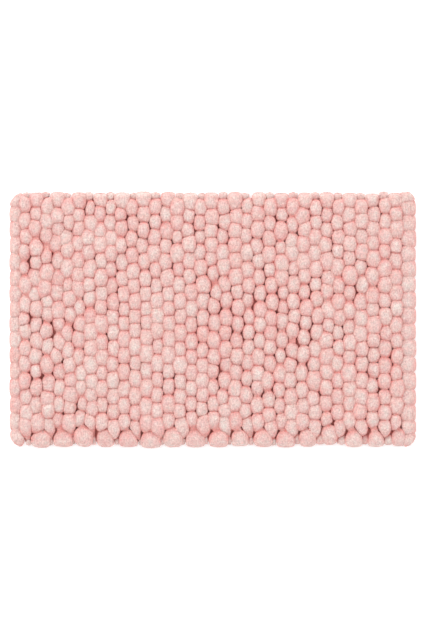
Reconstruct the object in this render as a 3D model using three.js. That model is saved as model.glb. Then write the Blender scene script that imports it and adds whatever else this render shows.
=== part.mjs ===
// A hand-woven pebble bath mat. Thick roving is woven across the mat in straight rows, and each row
// is tied down at regular points, so that it stands up as a chain of plump pebbles. Neighbouring rows
// are tied half a pebble apart, so the pebbles nest like bricks.
//
// Millimetres. X runs along the mat, Y across it, Z up. The origin is the middle of the underside.
import * as THREE from "three";

// Overall size
const matLength = 800;
const matWidth = 500;

// Roving rows: what one pebble measures, from which the rows and pebbles are counted
const nominalRowPitch = 22.2;
const nominalPebbleLength = 31.25;
const pebbleHeight = 17.4; // over the ground cloth, in the middle of a pebble
const neckHeight = 10.5; // over the ground cloth, where a row is tied down
const sideBulge = 2; // how far a pebble stands out past the straight side of its row
const crownShare = 0.62; // width of the flat crown and foot as a share of the row's width
const rowClearance = 0.7; // between neighbouring rows

// Layers under the rows, from the floor up
const backingThickness = 1.2;
const clothThickness = 1.8;
const clearance = 0.3; // between layers that rest on each other

// The end rows roll over the folded ends and come down to the floor
const endRowHeight = 15.5;
const endRowLift = 0.4; // the end rows stop this far above the floor

// Edges across the ends: the woven header is folded under and sewn down
const hemDepth = 26;
const hemWallThickness = 1.6; // of the fold that goes up the end of the cloth
const hemFoldRadius = 1.2;
const seamInset = 6; // seam line to the hem's inner edge
const seamThreadDiameter = 0.5;
const seamClearance = 0.1; // between a seam thread and its groove

// Edges along the sides: the rows turn back round a thick cord
const sideOverhang = 12; // the rows reach this far past the ground cloth
const selvedgeCordLift = 0.1; // the cords stop this far above the floor

// Care label, sewn to the cloth in a notch of the coating
const labelLength = 48; // along Y
const labelDepth = 27; // along X
const labelThickness = 0.3;
const labelMargin = 3; // uncoated cloth round the label
const labelFromSide = 60; // from the cloth's side to the label

// How finely the round things are drawn
const cordSides = 8;
const threadSides = 6;
const foldSegments = 4;

// Counts and places that follow from the sizes
const rowCount = Math.round(matLength / nominalRowPitch);
const pebblesPerRow = Math.round(matWidth / nominalPebbleLength);
const rowPitch = (matLength - 2 * sideBulge + rowClearance) / rowCount;
const pebbleLength = matWidth / pebblesPerRow;
const clothBase = backingThickness + clearance;
const rowBase = clothBase + clothThickness + clearance;
const endRowX = ((rowCount - 1) / 2) * rowPitch;
const hemOuterX = endRowX - rowPitch / 2 - sideBulge - clearance;
const hemInnerX = hemOuterX - hemDepth;
const hemLeafThickness = backingThickness; // the leaf is level with the coating
const seamGrooveDepth = seamThreadDiameter + 2 * seamClearance;
const clothHalfLength = hemOuterX - hemWallThickness - clearance;
const clothHalfWidth = matWidth / 2 - sideOverhang;
const backingHalfLength = hemInnerX - clearance;
const selvedgeCordDiameter = rowBase - clearance - selvedgeCordLift; // fills the height under the rows

const fabric = (color, roughness) => new THREE.MeshStandardMaterial({ color, roughness, metalness: 0 });
const rovingMaterial = fabric(0xebbcb5, 0.95);
const clothMaterial = fabric(0xe6bfb6, 0.95);
const cordMaterial = fabric(0xe2b0a8, 0.9);
const threadMaterial = fabric(0xf0cfc8, 0.7);
const labelMaterial = fabric(0xf6f4f0, 0.75);
const backingMaterial = fabric(0xefe6da, 0.85);

const mat = new THREE.Group();

function add(name, geometry, material) {
  const mesh = new THREE.Mesh(geometry, material);
  mesh.name = name;
  mat.add(mesh);
  return mesh;
}

// A closed outline through the given corners
function outline(corners) {
  return new THREE.Shape(corners.map(([x, y]) => new THREE.Vector2(x, y)));
}

// A flat layer: a plan outline raised from one height by its thickness
function layer(shape, base, thickness) {
  return new THREE.ExtrudeGeometry(shape, { depth: thickness, bevelEnabled: false }).translate(0, 0, base);
}

function rectangle(halfLength, halfWidth) {
  return outline([
    [-halfLength, -halfWidth],
    [halfLength, -halfWidth],
    [halfLength, halfWidth],
    [-halfLength, halfWidth],
  ]);
}

// One row of roving. Its section is a flat hexagon, and the section swells at the middle of each
// pebble and shrinks at each tie. Every second row is tied half a pebble along.
function rovingRow(index) {
  const isEndRow = index === 0 || index === rowCount - 1;
  const base = isEndRow ? endRowLift : rowBase;
  const crownHeight = isEndRow ? endRowHeight : pebbleHeight;
  const tiedHeight = isEndRow ? (endRowHeight * neckHeight) / pebbleHeight : neckHeight;
  const steps = 2 * pebblesPerRow;
  const section = outline([
    [-crownShare, 0],
    [crownShare, 0],
    [1, 0.5],
    [crownShare, 1],
    [-crownShare, 1],
    [-1, 0.5],
  ]);
  const geometry = new THREE.ExtrudeGeometry(section, { depth: steps, steps, bevelEnabled: false });
  const corners = geometry.getAttribute("position");
  for (let i = 0; i < corners.count; i++) {
    const step = Math.round(corners.getZ(i));
    const isEnd = step === 0 || step === steps;
    const isPebble = !isEnd && (step + index) % 2 === 1;
    const halfWidth = (rowPitch - rowClearance) / 2 + (isPebble ? sideBulge : -sideBulge);
    const height = isPebble ? crownHeight : tiedHeight;
    corners.setXYZ(
      i,
      corners.getX(i) * halfWidth,
      matWidth / 2 - (step * pebbleLength) / 2,
      base + corners.getY(i) * height,
    );
  }
  return geometry;
}

// The folded end of the header: a flat leaf under the mat and a wall up the end of the cloth, drawn
// as a section in X and Z for the end at +X. The seam lies in a groove along its underside.
function hemSection() {
  const seamX = hemInnerX + seamInset;
  const grooveHalf = seamThreadDiameter / 2 + seamClearance;
  const top = clothBase + clothThickness;
  const shape = new THREE.Shape();
  shape.moveTo(hemInnerX, 0);
  shape.lineTo(seamX - grooveHalf, 0);
  shape.lineTo(seamX - grooveHalf, seamGrooveDepth);
  shape.lineTo(seamX + grooveHalf, seamGrooveDepth);
  shape.lineTo(seamX + grooveHalf, 0);
  shape.lineTo(hemOuterX - hemFoldRadius, 0);
  shape.absarc(hemOuterX - hemFoldRadius, hemFoldRadius, hemFoldRadius, -Math.PI / 2, 0, false);
  shape.lineTo(hemOuterX, top);
  shape.lineTo(hemOuterX - hemWallThickness, top);
  shape.lineTo(hemOuterX - hemWallThickness, hemLeafThickness);
  shape.lineTo(hemInnerX, hemLeafThickness);
  shape.closePath();
  return shape;
}

function hem(side) {
  const geometry = new THREE.ExtrudeGeometry(hemSection(), {
    depth: 2 * clothHalfWidth,
    bevelEnabled: false,
    curveSegments: foldSegments,
  });
  geometry.rotateX(Math.PI / 2).translate(0, clothHalfWidth, 0);
  return side > 0 ? geometry : geometry.rotateZ(Math.PI);
}

// A straight thread or cord of round section, with its middle at the given point
function cord(diameter, length, sides) {
  return new THREE.CylinderGeometry(diameter / 2, diameter / 2, length, sides);
}

// The anti-slip coating: a rectangle between the hems, with a notch where the label is sewn on
function backingOutline() {
  const notchInnerX = backingHalfLength - labelDepth - labelMargin;
  const notchLow = -clothHalfWidth + labelFromSide - labelMargin;
  const notchHigh = -clothHalfWidth + labelFromSide + labelLength + labelMargin;
  return outline([
    [-backingHalfLength, -clothHalfWidth],
    [backingHalfLength, -clothHalfWidth],
    [backingHalfLength, notchLow],
    [notchInnerX, notchLow],
    [notchInnerX, notchHigh],
    [backingHalfLength, notchHigh],
    [backingHalfLength, clothHalfWidth],
    [-backingHalfLength, clothHalfWidth],
  ]);
}

add("latex_backing", layer(backingOutline(), 0, backingThickness), backingMaterial);
add("ground_cloth", layer(rectangle(clothHalfLength, clothHalfWidth), clothBase, clothThickness), clothMaterial);

const label = add(
  "care_label",
  new THREE.BoxGeometry(labelDepth, labelLength, labelThickness),
  labelMaterial,
);
label.position.set(
  backingHalfLength - labelDepth / 2,
  -clothHalfWidth + labelFromSide + labelLength / 2,
  backingThickness - labelThickness / 2,
);

for (const [end, side] of [
  ["left", -1],
  ["right", 1],
]) {
  add(`end_hem_${end}`, hem(side), clothMaterial);
  const seam = add(
    `hem_seam_${end}`,
    cord(seamThreadDiameter, 2 * clothHalfWidth, threadSides),
    threadMaterial,
  );
  seam.position.set(side * (hemInnerX + seamInset), 0, seamGrooveDepth / 2);
}

for (const [edge, side] of [
  ["front", -1],
  ["back", 1],
]) {
  const selvedge = add(
    `selvedge_cord_${edge}`,
    cord(selvedgeCordDiameter, 2 * clothHalfLength, cordSides).rotateZ(Math.PI / 2),
    cordMaterial,
  );
  selvedge.position.set(
    0,
    side * (clothHalfWidth + clearance + selvedgeCordDiameter / 2),
    selvedgeCordLift + selvedgeCordDiameter / 2,
  );
}

for (let index = 0; index < rowCount; index++) {
  const row = add(`pebble_row_${String(index + 1).padStart(2, "0")}`, rovingRow(index), rovingMaterial);
  row.position.x = (index - (rowCount - 1) / 2) * rowPitch;
}

export default mat;
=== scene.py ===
"""A hand-woven pebble bath mat: rows of thick pink roving on a cloth ground.

Each row of roving is one closed skin. It swells into pebbles and narrows where a binding warp ties
it down. The pebbles are laid out in plan first, half a pebble out of step from row to row, and each
one then swells until it meets its neighbours. Under the rows lie the cloth ground, the folded hems,
the selvedge cords, the sprayed latex coating and a blank care label.

Metres throughout. X runs along the mat, Y across it towards the back, Z up.
"""

import math

import bpy
import numpy as np
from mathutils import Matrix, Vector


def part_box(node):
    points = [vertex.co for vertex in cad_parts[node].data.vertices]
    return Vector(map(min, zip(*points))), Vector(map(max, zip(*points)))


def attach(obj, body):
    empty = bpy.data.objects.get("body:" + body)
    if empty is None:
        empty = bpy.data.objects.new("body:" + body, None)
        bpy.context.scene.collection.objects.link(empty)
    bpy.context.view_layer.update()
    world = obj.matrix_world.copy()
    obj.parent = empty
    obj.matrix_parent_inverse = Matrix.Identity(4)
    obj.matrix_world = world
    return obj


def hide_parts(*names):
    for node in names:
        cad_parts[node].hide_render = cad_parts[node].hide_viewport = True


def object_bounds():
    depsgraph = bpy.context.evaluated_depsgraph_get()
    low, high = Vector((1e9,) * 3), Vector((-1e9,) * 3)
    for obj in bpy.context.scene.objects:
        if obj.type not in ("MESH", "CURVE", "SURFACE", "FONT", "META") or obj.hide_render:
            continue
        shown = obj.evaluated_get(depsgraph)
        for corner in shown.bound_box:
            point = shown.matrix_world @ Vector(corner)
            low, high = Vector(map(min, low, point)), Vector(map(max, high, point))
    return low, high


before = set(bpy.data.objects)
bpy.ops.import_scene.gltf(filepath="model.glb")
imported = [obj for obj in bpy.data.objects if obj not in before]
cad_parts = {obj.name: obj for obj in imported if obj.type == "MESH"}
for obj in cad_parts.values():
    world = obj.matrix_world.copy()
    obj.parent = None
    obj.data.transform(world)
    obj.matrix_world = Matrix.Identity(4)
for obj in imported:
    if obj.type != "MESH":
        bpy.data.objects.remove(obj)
cad_low, cad_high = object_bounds()

MM = 0.001
TURN = 2 * math.pi

# ---------------------------------------------------------------- sizes from the CAD frame
ROW_NAMES = sorted(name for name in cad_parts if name.startswith("pebble_row_"))
ROW_COUNT = len(ROW_NAMES)
LAST_ROW = ROW_COUNT - 1
ROW_X = np.array([(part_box(name)[0][0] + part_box(name)[1][0]) / 2 for name in ROW_NAMES])
ROW_PITCH = float(ROW_X[1] - ROW_X[0])
HALF_LENGTH = float(cad_high[0])
HALF_WIDTH = float(cad_high[1])
MAT_TOP = float(cad_high[2])
PEBBLES_PER_ROW = 16
PEBBLE_PITCH = 2 * HALF_WIDTH / PEBBLES_PER_ROW
CLOTH_LOW, CLOTH_HIGH = (np.array(corner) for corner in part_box("ground_cloth"))

# ---------------------------------------------------------------- how the roving lies
WARP_DIAMETER = 1.1 * MM
PEBBLE_FOOT = CLOTH_HIGH[2] + WARP_DIAMETER + 0.3 * MM
EDGE_FOOT = 1.1 * MM  # where a pebble hangs down past the edge of the cloth
END_ROW_FOOT = 0.7 * MM
PEBBLE_TOP = MAT_TOP - 0.4 * MM
END_ROW_TOP = 16.6 * MM

# The outline of a pebble
PRESS = 1.45 * MM  # how far a pebble's loose fibres reach over its neighbours'
PRESS_SPREAD = 0.65  # how much this differs from pebble to pebble, as a share
SHARPNESS = 8.0  # how sharply a pressed pebble's corners turn
EDGE_SHARPNESS = 3.6  # the same for its corners at the mat's edges
OWN_SHARPNESS = 2.2  # the same for its free outline, where 2 is an oval
EDGE_EASE = 3.5 * MM  # the crowns at the mat's edges round down as if the edges were this far out
NECK_SHARE = 0.40  # width of the roving at a tie, as a share of its pebble
END_ROW_NECK_SHARE = 0.54

# The height of a pebble
EQUATOR = 0.42  # height of a pebble's widest level, as a share of its height
END_ROW_EQUATOR = 0.46
WALL_POWER = 6.0  # how squarely a pressed pebble turns down into a crease
FOOT_POWER = 3.4  # how squarely its foot rests, where 2 is a ball
DOME_SPREAD = 1.14  # the dome of a crown spreads this much wider than the free pebble
DOME_POWER = 0.85  # between a half, for a ball's dome, and one, for a parabola's
PINCH = 0.16  # how much lower the crown is at a tie
END_ROW_PINCH = 0.13

# How finely a pebble is drawn
RINGS = 26
SIDES = 40


# ================================================================ mesh helpers
def make_mesh(name, points, quads, triangles=None, uv_maps=None, attributes=None, smooth=True):
    """A mesh object from whole arrays: corners, four-sided faces and three-sided faces.

    uv_maps holds one (u, v) pair per face corner, quads first. attributes holds one number per point.
    """
    mesh = bpy.data.meshes.new(name)
    quads = np.asarray(quads, np.int32).reshape(-1, 4)
    triangles = np.zeros((0, 3), np.int32) if triangles is None else np.asarray(triangles, np.int32)
    corner_points = np.concatenate([quads.ravel(), triangles.ravel()])
    starts = np.concatenate([
        4 * np.arange(len(quads)),
        4 * len(quads) + 3 * np.arange(len(triangles)),
    ])
    mesh.vertices.add(len(points))
    mesh.vertices.foreach_set("co", np.asarray(points, np.float32).ravel())
    mesh.loops.add(len(corner_points))
    mesh.loops.foreach_set("vertex_index", corner_points.astype(np.int32))
    mesh.polygons.add(len(starts))
    mesh.polygons.foreach_set("loop_start", starts.astype(np.int32))
    for map_name, pairs in (uv_maps or {}).items():
        layer = mesh.uv_layers.new(name=map_name)
        layer.data.foreach_set("uv", np.asarray(pairs, np.float32).ravel())
    for attribute_name, values in (attributes or {}).items():
        layer = mesh.attributes.new(attribute_name, "FLOAT", "POINT")
        layer.data.foreach_set("value", np.asarray(values, np.float32).ravel())
    mesh.update(calc_edges=True)
    mesh.polygons.foreach_set("use_smooth", np.full(len(starts), smooth))
    mesh.validate()
    made = bpy.data.objects.new(name, mesh)
    bpy.context.scene.collection.objects.link(made)
    return made


def tube_faces(rings, sides, first=0):
    """Faces of a tube whose points run round each ring in turn, and the caps' triangles.

    The two points after the last ring are the poles that close the tube's start and end.
    """
    ring = np.arange(rings - 1)[:, None] * sides
    side = np.arange(sides)[None, :]
    following = (side + 1) % sides
    quads = np.stack([
        ring + side,
        ring + following,
        ring + sides + following,
        ring + sides + side,
    ], axis=-1).reshape(-1, 4)
    start_pole = rings * sides
    end_pole = start_pole + 1
    last = (rings - 1) * sides
    start_cap = np.stack([following[0], side[0], np.full(sides, start_pole)], axis=-1)
    end_cap = np.stack([last + side[0], last + following[0], np.full(sides, end_pole)], axis=-1)
    return quads + first, np.concatenate([start_cap, end_cap]) + first


def tubes(paths, radius, sides, side_axis):
    """Round closed tubes, all in one set of arrays, along paths given as (tube, station, 3).

    At each station the ring is middle + radius (cos t side + sin t up), where up is the tangent
    crossed with side. The poles stand a little past the ends. Returns points, faces and a yarn map.
    """
    paths = np.asarray(paths, float)
    number, stations = paths.shape[:2]
    tangent = np.gradient(paths, axis=1)
    tangent /= np.linalg.norm(tangent, axis=-1, keepdims=True)
    side = np.asarray(side_axis, float) - tangent * (tangent @ np.asarray(side_axis, float))[..., None]
    side /= np.linalg.norm(side, axis=-1, keepdims=True)
    up = np.cross(tangent, side)
    angle = TURN * np.arange(sides) / sides
    ring = side[:, :, None] * np.cos(angle)[:, None] + up[:, :, None] * np.sin(angle)[:, None]
    rings = paths[:, :, None] + radius * ring
    poles = np.stack([
        paths[:, 0] - 0.6 * radius * tangent[:, 0],
        paths[:, -1] + 0.6 * radius * tangent[:, -1],
    ], axis=1)
    points = np.concatenate([rings.reshape(number, -1, 3), poles], axis=1)
    quads, triangles = tube_faces(stations, sides)
    first = (np.arange(number) * points.shape[1])[:, None, None]
    quads = (quads + first).reshape(-1, 4)
    triangles = (triangles + first).reshape(-1, 3)

    lengths = np.linalg.norm(np.diff(paths, axis=1), axis=-1)
    along = np.concatenate([np.zeros((number, 1)), np.cumsum(lengths, axis=1)], axis=1)
    turn = np.arange(sides + 1) / sides * TURN * radius
    shape = (number, stations - 1, sides)
    low, high = np.broadcast_to(turn[:-1], shape), np.broadcast_to(turn[1:], shape)
    start = np.broadcast_to(along[:, :-1, None], shape)
    finish = np.broadcast_to(along[:, 1:, None], shape)
    yarn = np.stack([
        np.stack([low, start], -1), np.stack([high, start], -1),
        np.stack([high, finish], -1), np.stack([low, finish], -1),
    ], axis=-2).reshape(-1, 2)
    yarn = np.concatenate([yarn, np.zeros((3 * len(triangles), 2))])
    return points.reshape(-1, 3), quads, triangles, yarn


def slab_arrays(grid_x, grid_y, inside, low, high):
    """A closed slab over the cells of a grid that are inside, between two sheets of heights."""
    across, along = len(grid_x), len(grid_y)
    x, y = np.meshgrid(grid_x, grid_y, indexing="ij")
    points = np.concatenate([
        np.stack([x, y, high], axis=-1).reshape(-1, 3),
        np.stack([x, y, low], axis=-1).reshape(-1, 3),
    ])
    under = across * along
    number = np.arange(under).reshape(across, along)
    corner_a, corner_b = number[:-1, :-1], number[1:, :-1]
    corner_c, corner_d = number[1:, 1:], number[:-1, 1:]
    around = np.pad(inside, 1)
    at_left = inside & ~around[:-2, 1:-1]
    at_right = inside & ~around[2:, 1:-1]
    at_front = inside & ~around[1:-1, :-2]
    at_back = inside & ~around[1:-1, 2:]

    def faces(where, *corners):
        """The quads of the chosen cells."""
        return np.stack([corner[where] for corner in corners], axis=-1)

    a, b, c, d = corner_a, corner_b, corner_c, corner_d
    quads = np.concatenate([
        faces(inside, a, b, c, d),
        faces(inside, d + under, c + under, b + under, a + under),
        faces(at_left, a + under, a, d, d + under),
        faces(at_right, b, b + under, c + under, c),
        faces(at_front, a, a + under, b + under, b),
        faces(at_back, d + under, d, c, c + under),
    ])
    used, quads = np.unique(quads, return_inverse=True)
    return points[used], quads.reshape(-1, 4)


FINE_STEP = 0.5 * MM


def grid_lines(low, high, spacing, *extra):
    """Even grid lines from low to high, with a fine line just inside each end, and extra ones."""
    count = max(2, round((high - low) / spacing)) + 1
    lines = [np.linspace(low, high, count), [low + FINE_STEP, high - FINE_STEP], extra]
    lines = np.unique(np.round(np.concatenate(lines), 7))
    keep = np.concatenate([[True], np.diff(lines) > 0.1 * MM])
    return lines[keep]


def smooth_step(low, high, value):
    """0 below low, 1 above high, and 3t^2 - 2t^3 between them."""
    share = np.clip((value - low) / (high - low), 0, 1)
    return share * share * (3 - 2 * share)


def hill(x, y, middle_x, middle_y, reach_x, reach_y):
    """A round hill of height 1: e to the power of minus the squared distance in reaches."""
    return np.exp(-(((x - middle_x) / reach_x) ** 2) - ((y - middle_y) / reach_y) ** 2)


def ripples(points, wavelength, seed, count=7):
    """Smooth unevenness of about -1 to 1: a sum of sine waves in seeded directions and phases."""
    pick = np.random.default_rng(seed)
    heading = pick.normal(size=(count, points.shape[-1]))
    heading /= np.linalg.norm(heading, axis=1, keepdims=True)
    pace = TURN / wavelength * pick.uniform(0.7, 1.4, count)
    phase = pick.uniform(0, TURN, count)
    waves = np.sin(points @ (heading * pace[:, None]).T + phase)
    return waves.sum(axis=-1) / math.sqrt(count)


# ================================================================ laying out the pebbles
# The weave is beaten up by hand, so the rows wander. Each hill moves the rows near it along X:
# strength, then its middle and its reach as shares of the mat's half length and half width.
ROW_DRIFTS = [
    (-7.0 * MM, -0.20, 0.65, 0.45, 0.40),
    (4.0 * MM, 0.35, 0.05, 0.35, 0.30),
    (-4.0 * MM, 0.35, -0.50, 0.30, 0.30),
    (3.0 * MM, -0.75, -0.70, 0.25, 0.35),
]
ROW_ARCH = -9.0 * MM  # the rows between the ends lie this much towards the left
BACK_ARCH = 6.0 * MM  # the pebbles between the front and back edges lie this much towards the back
BACK_WANDER = 2.2 * MM  # and they wander this much along Y, in slow waves
WANDER_LENGTH = 150 * MM

# How much single pebbles differ where they lie as they like: spreads of the normal distribution
SPREAD_X = 1.7 * MM
SPREAD_Y = 2.6 * MM
SPREAD_SIZE = 0.10
SPREAD_LEAN = 0.16  # radians
SPREAD_TOP = 0.95 * MM
LARGE_SHARE = 0.05  # this share of the pebbles is larger still
LARGE_SIZE = 1.2
FULL_RISE = 0.7 * MM  # a pebble that is packed fuller stands this much higher

# Where the pebbles stack in barrels they differ less, are longer and keep their columns better
BARREL_CALM = 0.72
BARREL_LENGTHENING = 0.05
BARREL_STRETCH = 0.75  # added to the stretch, which press_limits explains
PEBBLE_STRETCH = 1.62
END_ROW_STRETCH = 2.0

# Elsewhere: more unrest towards the left end, less in the end rows and along the back edge
LEFT_UNREST = 0.6
END_ROW_UNREST = 0.35
EDGE_UNREST_Y = 0.4
END_ROW_SPREAD_X = 0.5 * MM
END_ROW_SPREAD_TOP = 0.4 * MM

# Where the weave is open, the pebbles are this much narrower and shorter
OPEN_NARROWING = 0.15
OPEN_SHORTENING = 0.12

# What each kind of pebble measures when nothing presses on it: half its width and half its length
PEBBLE_HALVES = (15.0 * MM, 19.5 * MM)
TURN_HALVES = (21.0 * MM, 19.0 * MM)
BEHIND_TURN_HALVES = (17.0 * MM, 23.0 * MM)
BACK_ROLL_HALF_WIDTH = 15.5 * MM
BACK_BIT_HALVES = (15.0 * MM, 9.0 * MM)
FRONT_BIT_HALVES = (13.0 * MM, 11.0 * MM)
END_ROW_HALF_LENGTH = 20.0 * MM
LEFT_END_HALF = 10.9 * MM
RIGHT_END_HALF = 14.2 * MM
END_ROW_FULLNESS = 1.35  # an end row would be this much wider than it lies
END_ROW_BIT_SIZE = 0.9  # a share of the size of its whole pebbles
EDGE_REACH = 0.7 * PEBBLE_PITCH  # pebbles whose middles lie this near an edge belong to it

# Along the front edge the roving turns round the cord in wide pebbles, which lie between two rows
TURN_SHIFT = 9.0 * MM
TURN_DROP_Y = 3.2 * MM
TURN_SIZE = 1.5
TURN_LEAN = -0.15
TURN_LOWER = 1.5 * MM
TURN_NARROWING = 2.5 * MM  # towards the right end
BEHIND_TURN_SET_BACK = 9.0 * MM

# Along the back edge it rolls over low, and small bits of it fill both edges between the pebbles
BACK_ROLL_SIZE = 1.15
BACK_ROLL_LOWER = 2.6 * MM
BACK_BIT_INSET = 5.0 * MM
BACK_BIT_SIZE = 0.42
BACK_BIT_TOP = 12.5 * MM
FRONT_BIT_INSET = 9.0 * MM
FRONT_BIT_SHIFT = 7.0 * MM
FRONT_BIT_SIZE = 0.18
FRONT_BIT_GROWTH = 0.40  # added to its size towards the right end
FRONT_BIT_TOP = 11.5 * MM
FRONT_BIT_SET_BACK = 5.0 * MM


def row_drift(x, y):
    """How far the rows lie from their straight places at (x, y): an arch plus a few hills."""
    u = x / HALF_LENGTH
    v = y / HALF_WIDTH
    moved = ROW_ARCH * (1 - np.abs(u) ** 5)
    for strength, *place in ROW_DRIFTS:
        moved = moved + strength * hill(u, v, *place)
    return moved


def barrel_order(x, y):
    """1 where the pebbles stack in straight barrels, 0 where they lie as they like."""
    return hill(x / HALF_LENGTH, y / HALF_WIDTH, -0.28, -0.20, 0.26, 0.50)


def looseness(x, y):
    """1 where the weave is open, so that deep holes show between the pebbles."""
    return hill(x / HALF_LENGTH, y / HALF_WIDTH, 0.32, -0.08, 0.36, 0.55)


def number_pebbles():
    """Every pebble's row, its straight place along Y and whether it is a small bit, back to front.

    Even rows hold whole pebbles from edge to edge. Odd rows lie half a pebble along, and end in a
    small bit of roving at each edge.
    """
    rows, places, bits = [], [], []
    for index in range(ROW_COUNT):
        is_odd = index % 2
        count = PEBBLES_PER_ROW + is_odd
        along = HALF_WIDTH - (np.arange(count) + (1 - is_odd) / 2) * PEBBLE_PITCH
        is_bit = np.zeros(count, bool)
        if is_odd:
            is_bit[[0, -1]] = True
            along[0] -= BACK_BIT_INSET
            along[-1] += FRONT_BIT_INSET
        rows.append(np.full(count, index))
        places.append(along)
        bits.append(is_bit)
    return np.concatenate(rows), np.concatenate(places), np.concatenate(bits)


def lay_out_pebbles():
    """Every pebble's place, size and lean in plan and its top, as arrays in number_pebbles' order."""
    pick = np.random.default_rng(11)
    row, y, bit = number_pebbles()
    x = ROW_X[row]
    count = len(row)

    is_odd = row % 2 == 1
    is_end_row = (row == 0) | (row == LAST_ROW)
    at_front = y < -HALF_WIDTH + EDGE_REACH
    at_back = y > HALF_WIDTH - EDGE_REACH
    is_turn = at_front & ~is_odd & ~is_end_row
    is_back_roll = at_back & ~is_odd & ~is_end_row

    # The rows wander together, and each pebble finds its own place in them
    order = barrel_order(x, y)
    unrest = (1 - BARREL_CALM * order) * (1 + LEFT_UNREST * smooth_step(0.2, 0.9, -x / HALF_LENGTH))
    unrest = np.where(is_end_row, END_ROW_UNREST, unrest)
    x = x + np.where(is_end_row, 0, row_drift(x, y))
    x = x + unrest * pick.normal(0, SPREAD_X, count)
    y = y + BACK_ARCH * (1 - np.abs(y / HALF_WIDTH) ** 6)
    y = y + unrest * pick.normal(0, SPREAD_Y, count) * np.where(bit | at_back, EDGE_UNREST_Y, 1)
    y = y + BACK_WANDER * ripples(np.stack([x, 0.5 * y], axis=-1), WANDER_LENGTH, 5)

    size = np.exp(unrest * pick.normal(0, SPREAD_SIZE, count))
    is_large = pick.uniform(size=count) < LARGE_SHARE * unrest
    size = size * np.where(is_large, LARGE_SIZE, 1)
    half_width = PEBBLE_HALVES[0] * np.sqrt(size)
    half_length = PEBBLE_HALVES[1] * np.sqrt(size) * (1 + BARREL_LENGTHENING * order)
    lean = unrest * pick.normal(0, SPREAD_LEAN, count)
    top = PEBBLE_TOP + (0.3 + unrest) * pick.normal(0, SPREAD_TOP, count)

    # The turns round the front cord, with the bits between them and the pebbles behind them
    x = x + np.where(is_turn, TURN_SHIFT, 0)
    x = x + np.where(bit & at_front & ~is_end_row, FRONT_BIT_SHIFT, 0)
    y = y - np.where(is_turn, TURN_DROP_Y, 0)
    narrowing = smooth_step(0.1, 0.6, x / HALF_LENGTH)
    behind_turn = (y < -HALF_WIDTH + 1.4 * PEBBLE_PITCH) & ~at_front & is_odd
    nearness = smooth_step(-HALF_WIDTH + 3.3 * PEBBLE_PITCH, -HALF_WIDTH + PEBBLE_PITCH, y)
    set_back = BEHIND_TURN_SET_BACK * (nearness * (1 - narrowing))
    y = y + np.where(is_odd & ~bit & ~is_end_row, set_back, 0)
    lean = np.where(is_turn, pick.normal(TURN_LEAN, SPREAD_LEAN, count), lean)

    # The end rows lie straight along the mat's ends
    end_half = np.where(row == 0, LEFT_END_HALF, RIGHT_END_HALF)
    end_x = np.where(row == 0, -HALF_LENGTH + LEFT_END_HALF, HALF_LENGTH - RIGHT_END_HALF)
    x = np.where(is_end_row, end_x + pick.normal(0, END_ROW_SPREAD_X, count), x)
    end_size = end_half / (ROW_PITCH / 2) * np.where(bit, END_ROW_BIT_SIZE, 1)
    end_top = END_ROW_TOP + pick.normal(0, END_ROW_SPREAD_TOP, count)

    kinds = [is_end_row, is_turn, behind_turn, bit & at_back, bit, is_back_roll]
    front_bit_size = FRONT_BIT_SIZE + FRONT_BIT_GROWTH * narrowing
    size = np.select(kinds, [
        end_size, TURN_SIZE * size, size, BACK_BIT_SIZE, front_bit_size, BACK_ROLL_SIZE * size,
    ], size)
    half_width = np.select(kinds, [
        END_ROW_FULLNESS * end_half, TURN_HALVES[0] - TURN_NARROWING * narrowing,
        BEHIND_TURN_HALVES[0], BACK_BIT_HALVES[0], FRONT_BIT_HALVES[0], BACK_ROLL_HALF_WIDTH,
    ], half_width)
    half_length = np.select(kinds, [
        END_ROW_HALF_LENGTH, TURN_HALVES[1],
        BEHIND_TURN_HALVES[1], BACK_BIT_HALVES[1], FRONT_BIT_HALVES[1], half_length,
    ], half_length)
    top = np.select(kinds, [
        end_top, top - TURN_LOWER, top, BACK_BIT_TOP, FRONT_BIT_TOP, top - BACK_ROLL_LOWER,
    ], top)
    opening = np.where(is_end_row | bit, 0, looseness(x, y))

    # A pebble that is packed fuller stands higher and pushes over its neighbours
    tint = pick.normal(0, 1, count)
    fullness = np.clip(pick.normal(0, 1, count), -1.2, 1.2)
    fullness = np.where(is_end_row | bit, 0, fullness)
    return {
        "row": row,
        "x": x,
        "y": y,
        "size": size,
        "half_width": half_width * (1 - OPEN_NARROWING * opening),
        "half_length": half_length * (1 - OPEN_SHORTENING * opening),
        "lean": lean,
        "top": top + FULL_RISE * fullness,
        "press": PRESS * (1 + PRESS_SPREAD * fullness),
        "bit": bit,
        "end_row": is_end_row,
        "stretch": np.where(is_end_row, END_ROW_STRETCH, PEBBLE_STRETCH + BARREL_STRETCH * order),
        "tint": tint,
    }


# The mat's edges as lines: right, left, back and front, then the four cut corners. Each pebble
# stops up to its wobble short of them.
SLOPE = math.sqrt(0.5)
EDGE_NORMALS = np.array([
    (1, 0), (-1, 0), (0, 1), (0, -1),
    (SLOPE, SLOPE), (-SLOPE, SLOPE), (SLOPE, -SLOPE), (-SLOPE, -SLOPE),
])
EDGE_LINES = len(EDGE_NORMALS)
EDGE_PROUD = 1.0 * MM
CORNER_CUTS = np.array([7.0, 13.0, 11.0, 12.0]) * MM
EDGE_WOBBLE = np.array([1.2, 1.2, 3.2, 3.2, 1.0, 1.0, 1.0, 1.0]) * MM
LEAST_REACH = 2.0 * MM


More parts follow.
